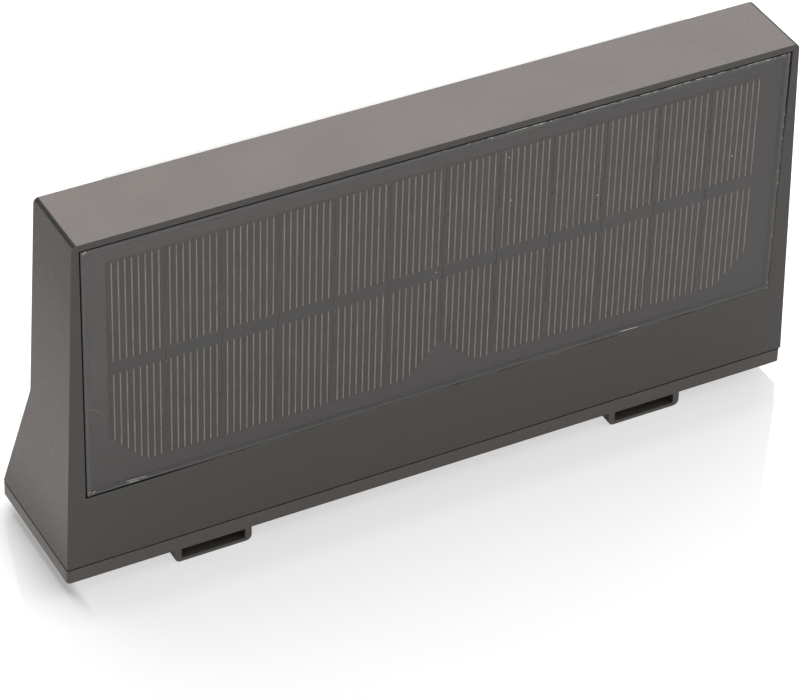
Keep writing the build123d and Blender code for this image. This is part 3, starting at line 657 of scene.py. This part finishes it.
# %% [markdown]
# ## Crumbs and fibres
# This light has been handled: crumbs of dried adhesive sit along the edges of the panel,
# and a few hairs lie on it. A crumb is a small ball whose points are pushed about at
# random, then pressed flat. The random numbers have a fixed start, so every run makes
# the same crumbs. All places and sizes of crumbs are in millimetres.

# %% Shape of a crumb
draw = random.Random(7)
panel_face = cover_low.y
TILT, FLAT_TILT = 0.28, 0.04


def add_crumb(mesh, x, z, size, tilt=TILT):
    """A flat irregular crumb on the panel; size is its length, width and height."""
    length, width, height = (part * MM for part in size)
    place = (
        Matrix.Translation((x * MM, panel_face, z * MM))
        @ Matrix.Rotation(tilt, 4, "Y")
        @ Matrix.Diagonal((length / 2, height, width / 2, 1))
    )
    ball = bmesh.ops.create_icosphere(mesh, subdivisions=2, radius=1)
    for vert in ball["verts"]:
        vert.co *= 1 + draw.uniform(-0.3, 0.18)
        vert.co.y = min(vert.co.y, 0.4)
        vert.co = place @ vert.co


print("panel face at y in mm:", round(panel_face / MM, 2))

# %% Crumbs of adhesive
# Along the upper edge: single crumbs as x and length, and a dense run between two places.
TOP_CRUMBS = ((16.2, 0.8), (35.0, 1.5), (39.0, 0.7), (87.2, 1.0), (101.8, 1.6), (125.0, 1.2))
RUN_COUNT, RUN_X, RUN_LENGTH = 26, (48, 86), (0.5, 1.8)
# In the left corners, as x and z from the upper edge, and as a crowd at the lower edge.
UPPER_CORNER = ((-133.2, -0.9), (-132.5, -0.5))
LOWER_COUNT, LOWER_X, LOWER_Z, LOWER_SIZE = 16, (-133.9, -131.2), (0.3, 1.9), (0.15, 0.4)
# Smears as x, z from the lower edge and length: three on the left, one right of the middle.
SMEARS = ((-117.3, 1.7, 5.5), (-117.0, 0.9, 4.5), (-113.4, 1.4, 3.0), (76.0, 1.0, 9.0))
# Bits on the right edge, as z from the lower edge, and dust on the face, as x and z.
RIGHT_BITS = (0.5, 3.1, 24.0, 47.0, 52.0, 66.0, 71.0, 76.0)
DUST = ((23.3, 132.2), (25.0, 114.0), (59.3, 105.5), (113.6, 105.6), (-3.2, 92.6))

top_edge, lower_edge, right_edge = cover_high.z / MM, cover_low.z / MM, cover_high.x / MM
crumbs = bmesh.new()
for x, length in TOP_CRUMBS:
    add_crumb(crumbs, x, top_edge - 0.4, (length, 0.4, 0.12))
for _ in range(RUN_COUNT):
    x = draw.uniform(*RUN_X)
    add_crumb(crumbs, x, top_edge - 0.4, (draw.uniform(*RUN_LENGTH), 0.16, 0.08))
for x, z in UPPER_CORNER:
    add_crumb(crumbs, x, top_edge + z, (0.7, 0.6, 0.12))
for _ in range(LOWER_COUNT):
    x, z = draw.uniform(*LOWER_X), draw.uniform(*LOWER_Z)
    size = draw.uniform(*LOWER_SIZE)
    add_crumb(crumbs, x, lower_edge + z, (size, size, 0.1))
for x, z, length in SMEARS:
    add_crumb(crumbs, x, lower_edge + z, (length, 0.3, 0.05), FLAT_TILT)
for z in RIGHT_BITS:
    add_crumb(crumbs, right_edge - 0.3, lower_edge + z, (0.4, 1.0, 0.12))
for x, z in DUST:
    add_crumb(crumbs, x, z, (0.45, 0.45, 0.1))

dried = mottled("dried_adhesive", tone(222, 217, 210), tone(250, 246, 240), 0.6 * MM, 2, 0.45)
raise_grain(dried, noise(dried, 0.2 * MM, 2), 0.02 * MM)
adhesive_crumbs = add_piece("adhesive_crumbs", crumbs, dried)
print("faces in the crumbs:", len(adhesive_crumbs.data.polygons))

# %% [markdown]
# A hair is a smooth curve along a few points with a thin round section. The points are
# given on the face of the panel, in millimetres, and lie half a thickness above it.

# %% Hairs
HAIRS = (
    ((-133.9, 77.6), (-132.2, 77.7), (-130.2, 77.0), (-128.7, 75.6), (-127.8, 73.2)),
    ((-133.8, 74.6), (-133.7, 71.0), (-133.5, 68.6), (-132.2, 67.3)),
    ((-130.7, 82.4), (-128.8, 84.4), (-126.4, 86.6)),
)
HAIR_R = 0.05 * MM
hair_curve = bpy.data.curves.new("panel_hairs", "CURVE")
hair_curve.dimensions = "3D"
hair_curve.bevel_depth = HAIR_R
hair_curve.bevel_resolution = 1
hair_curve.resolution_u = 6
for points in HAIRS:
    line = hair_curve.splines.new("NURBS")
    line.points.add(len(points) - 1)
    for point, (x, z) in zip(line.points, points):
        point.co = (x * MM, panel_face - HAIR_R, z * MM, 1)
    line.order_u = 3
    line.use_endpoint_u = True
fibre = mottled("pale_fibre", tone(120, 112, 108), tone(170, 164, 158), 1.2 * MM, 2, 0.5)
hair_curve.materials.append(fibre)
hairs = bpy.data.objects.new("panel_hairs", hair_curve)
bpy.context.collection.objects.link(hairs)
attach(hairs, "lamp")
print("hairs:", len(hair_curve.splines))

# %% [markdown]
# ## Light window
# The window is moulded in opal acrylic: white, a little glossy and slightly translucent,
# so its edge glows when light comes from behind. Subsurface scattering with a radius of
# a few millimetres gives that depth.

# %% Opal acrylic
opal = mottled("opal_plastic", tone(208, 208, 206), tone(211, 211, 209), 25 * MM, 2, 0.35)
opal_shader = opal.node_tree.nodes["Principled BSDF"]
opal_shader.inputs["Subsurface Weight"].default_value = 0.35
opal_shader.inputs["Subsurface Radius"].default_value = (1.0, 0.95, 0.9)
opal_shader.inputs["Subsurface Scale"].default_value = 2.5 * MM
raise_grain(opal, noise(opal, 0.6 * MM, 2), 0.01 * MM)
finish_node("diffuser", opal)
print("window finished")

# %% [markdown]
# ## Inner pieces
# Nothing shows of the inner pieces when the light is closed, but each has its own finish
# for whoever takes it apart: glossy white mouldings, solder mask, nickel, black
# mouldings, the sleeve of the cells and plated steel.

# %% Smooth mouldings and boards
def smooth_part(name, first, second, patch, roughness):
    """A smooth moulding or board whose tint and shine drift together."""
    material, shader = new_finish(name)
    links = material.node_tree.links
    drift = spread(material, noise(material, patch, 2), 0.0, 1.0)
    shine = spread(material, drift, roughness, roughness + 0.1, (0, 1))
    links.new(blend_colours(material, drift, first, second), shader.inputs["Base Color"])
    links.new(shine, shader.inputs["Roughness"])
    raise_grain(material, noise(material, 0.8 * MM, 2), 0.01 * MM)
    return material


white_plastic = smooth_part("white_plastic", tone(236, 236, 233), tone(228, 228, 225), 12 * MM, 0.3)
white_board = smooth_part("white_board", tone(232, 231, 226), tone(222, 221, 216), 6 * MM, 0.4)
green_board = smooth_part("green_board", tone(24, 92, 52), tone(18, 78, 44), 3 * MM, 0.35)
black_part = smooth_part("black_moulding", tone(34, 33, 33), tone(42, 41, 40), 5 * MM, 0.45)
cell_wrap = smooth_part("cell_wrap", tone(58, 104, 158), tone(50, 94, 146), 10 * MM, 0.25)
knob_part = smooth_part("knob_plastic", tone(40, 39, 38), tone(50, 48, 47), 1.5 * MM, 0.5)
phosphor = smooth_part("led_package", tone(238, 214, 128), tone(232, 226, 190), 1.6 * MM, 0.35)
print("finishes made:", white_plastic.name, "and six more")


# %% Metals
def drawn_metal(name, first, second, roughness, lines):
    """Bright metal with fine lines along X."""
    material, shader = new_finish(name)
    links = material.node_tree.links
    streaks = spread(material, noise(material, lines, 3, (0.05, 1, 1)), 0.0, 1.0)
    shine = spread(material, streaks, roughness, roughness + 0.12, (0, 1))
    links.new(blend_colours(material, streaks, first, second), shader.inputs["Base Color"])
    links.new(shine, shader.inputs["Roughness"])
    shader.inputs["Metallic"].default_value = 1.0
    return material


bright_metal = drawn_metal("bright_metal", tone(202, 200, 194), tone(186, 184, 178), 0.25, 0.2 * MM)
screw_steel = drawn_metal("screw_steel", tone(178, 179, 180), tone(160, 161, 163), 0.3, 0.15 * MM)

inner_finishes = {
    white_plastic: ("reflector_tray", "board_sockets"),
    white_board: ("led_board",),
    phosphor: ("leds",),
    green_board: ("control_board",),
    black_part: (
        "control_chips",
        "board_inductor",
        "battery_holder_left",
        "battery_holder_right",
        "switch_body",
    ),
    bright_metal: ("board_capacitors", "battery_contacts", "switch_bracket", "switch_terminals"),
    cell_wrap: ("battery_cell_left", "battery_cell_right"),
    knob_part: ("switch_knob",),
    screw_steel: (
        "base_screws",
        "led_board_screws",
        "tray_screws",
        "board_screws",
        "holder_screws",
        "switch_screws",
    ),
}
for material, node_names in inner_finishes.items():
    for node_name in node_names:
        finish_node(node_name, material)
print("inner pieces finished:", sum(len(names) for names in inner_finishes.values()))

# %% [markdown]
# ## Floor, light and background
# The photo was taken on a glossy white table in white surroundings. The floor reflects a
# little like polished acrylic and keeps the soft shadow, and a glow that only the camera
# and the reflections meet makes it nearly as white as the background. The world is white
# to the camera and in reflections, and gives a weaker light to the object, more of it
# from the right than from the left.

# %% Floor plane
FLOOR_SIZE = 6.0
FLOOR_Z = -0.2 * MM
floor_mesh = bmesh.new()
bmesh.ops.create_grid(floor_mesh, x_segments=1, y_segments=1, size=FLOOR_SIZE / 2)
bmesh.ops.translate(floor_mesh, verts=floor_mesh.verts, vec=(0, 0, FLOOR_Z))
floor_data = bpy.data.meshes.new("floor")
floor_mesh.to_mesh(floor_data)
floor_mesh.free()
floor = bpy.data.objects.new("floor", floor_data)
bpy.context.collection.objects.link(floor)
print("floor placed at", round(floor_data.vertices[0].co.z / MM, 2), "mm")

# %% [markdown]
# The glow fades where the floor is hemmed in by the light: fully at its left end, where
# the photo has its darkest shadow, and only to a least level elsewhere. Seen from below
# the floor isn't there, so the underside of the light can be looked at.

# %% Polished white floor
FLOOR_MIRROR, FLOOR_POLISH = 0.12, 0.03
FLOOR_MATT = (0.45, 0.45, 0.45, 1)
FLOOR_GLOW, MIRRORED_GLOW, LEAST_GLOW = 0.72, 0.3, 0.94
HEMMED_REACH, HEMMED_POWER = 20 * MM, 1.3
LEFT_OF_LIGHT = (-144 * MM, -137 * MM)

table_top = bpy.data.materials.new("table_top")
table_top.use_nodes = True
table_nodes, table_links = table_top.node_tree.nodes, table_top.node_tree.links
table_nodes.clear()

hemmed = table_nodes.new("ShaderNodeAmbientOcclusion")
hemmed.inputs["Distance"].default_value = HEMMED_REACH
deeper = table_nodes.new("ShaderNodeMath")
deeper.operation = "POWER"
deeper.inputs[1].default_value = HEMMED_POWER
table_links.new(hemmed.outputs["AO"], deeper.inputs[0])
least = spread(table_top, axes_of(table_top)["X"], 0.0, LEAST_GLOW, LEFT_OF_LIGHT)
kept_glow = combine(table_top, "MAXIMUM", least, deeper.outputs[0])
ray = table_nodes.new("ShaderNodeLightPath")
camera_glow = combine(table_top, "MULTIPLY", ray.outputs["Is Camera Ray"], kept_glow)
strength = combine(
    table_top,
    "ADD",
    spread(table_top, camera_glow, 0.0, FLOOR_GLOW, (0, 1)),
    spread(table_top, ray.outputs["Is Glossy Ray"], 0.0, MIRRORED_GLOW, (0, 1)),
)

matt = table_nodes.new("ShaderNodeBsdfDiffuse")
matt.inputs["Color"].default_value = FLOOR_MATT
glow = table_nodes.new("ShaderNodeEmission")
gloss = table_nodes.new("ShaderNodeBsdfGlossy")
gloss.inputs["Roughness"].default_value = FLOOR_POLISH
under = table_nodes.new("ShaderNodeAddShader")
lacquer = table_nodes.new("ShaderNodeMixShader")
lacquer.inputs[0].default_value = FLOOR_MIRROR
from_below = table_nodes.new("ShaderNodeNewGeometry")
one_sided = table_nodes.new("ShaderNodeMixShader")
output = table_nodes.new("ShaderNodeOutputMaterial")
table_links.new(strength, glow.inputs["Strength"])
table_links.new(matt.outputs[0], under.inputs[0])
table_links.new(glow.outputs[0], under.inputs[1])
table_links.new(under.outputs[0], lacquer.inputs[1])
table_links.new(gloss.outputs[0], lacquer.inputs[2])
table_links.new(from_below.outputs["Backfacing"], one_sided.inputs[0])
table_links.new(lacquer.outputs[0], one_sided.inputs[1])
table_links.new(table_nodes.new("ShaderNodeBsdfTransparent").outputs[0], one_sided.inputs[2])
table_links.new(one_sided.outputs[0], output.inputs["Surface"])
floor_data.materials.append(table_top)
print("floor finished:", table_top.name)

# %% White surroundings
ROOM_LIGHT = 0.72
LEAN_TO_RIGHT = 0.9
world = bpy.data.worlds.new("white_room")
bpy.context.scene.world = world
world.use_nodes = True
room, room_links = world.node_tree.nodes, world.node_tree.links
room.clear()

# The helpers above take anything with a node tree, so they serve the world too.
ray = room.new("ShaderNodeLightPath")
white_rays = ("Is Camera Ray", "Is Glossy Ray", "Is Transmission Ray")
sees_white = combine(world, "MAXIMUM", *(ray.outputs[kind] for kind in white_rays))
direction = room.new("ShaderNodeSeparateXYZ")
room_links.new(room.new("ShaderNodeTexCoord").outputs["Generated"], direction.inputs[0])
weakest, strongest = ROOM_LIGHT * (1 - LEAN_TO_RIGHT), ROOM_LIGHT * (1 + LEAN_TO_RIGHT)
leaning = spread(world, direction.outputs["X"], weakest, strongest, (-1, 1))
level = room.new("ShaderNodeMapRange")
level.inputs["To Max"].default_value = 1.0
room_links.new(leaning, level.inputs["To Min"])
room_links.new(sees_white, level.inputs["Value"])
backdrop = room.new("ShaderNodeBackground")
room_output = room.new("ShaderNodeOutputWorld")
room_links.new(level.outputs["Result"], backdrop.inputs["Strength"])
room_links.new(backdrop.outputs[0], room_output.inputs["Surface"])
print("world strength for light:", ROOM_LIGHT)

# %% [markdown]
# A large lamp above makes the top face pale. Another stands far behind on the right and
# lights the rear. A narrow one from the left brightens the lower part of the end.

# %% Lamps
def hang(lamp, place, target):
    """Hangs a lamp at a place, turned to a target."""
    holder = bpy.data.objects.new(lamp.name, lamp)
    aim = (Vector(target) - Vector(place)).to_track_quat("-Z", "Y")
    holder.matrix_world = Matrix.Translation(place) @ aim.to_matrix().to_4x4()
    bpy.context.collection.objects.link(holder)


MIDDLE_OF_LIGHT = (0, 0, 0.07)
# Soft boxes as name, place, size in metres and power.
for name, place, size, power in (
    ("box_above", (-0.1, 0.5, 1.4), 1.1, 16.5),
    ("box_behind", (2.2, 2.2, 1.6), 1.8, 28),
):
    soft_box = bpy.data.lights.new(name, "AREA")
    soft_box.shape = "SQUARE"
    soft_box.size = size
    soft_box.energy = power
    hang(soft_box, place, MIDDLE_OF_LIGHT)

SPOT_PLACE = (-1.0, 0.7, 0.12)
SPOT_TARGET = (-0.142, 0.0, 0.052)
SPOT_POWER, SPOT_RADIUS = 95, 0.1
SPOT_CONE = math.radians(6.5)
spot = bpy.data.lights.new("spot_left", "SPOT")
spot.energy = SPOT_POWER
spot.shadow_soft_size = SPOT_RADIUS
spot.spot_size = SPOT_CONE
spot.spot_blend = 1.0
hang(spot, SPOT_PLACE, SPOT_TARGET)
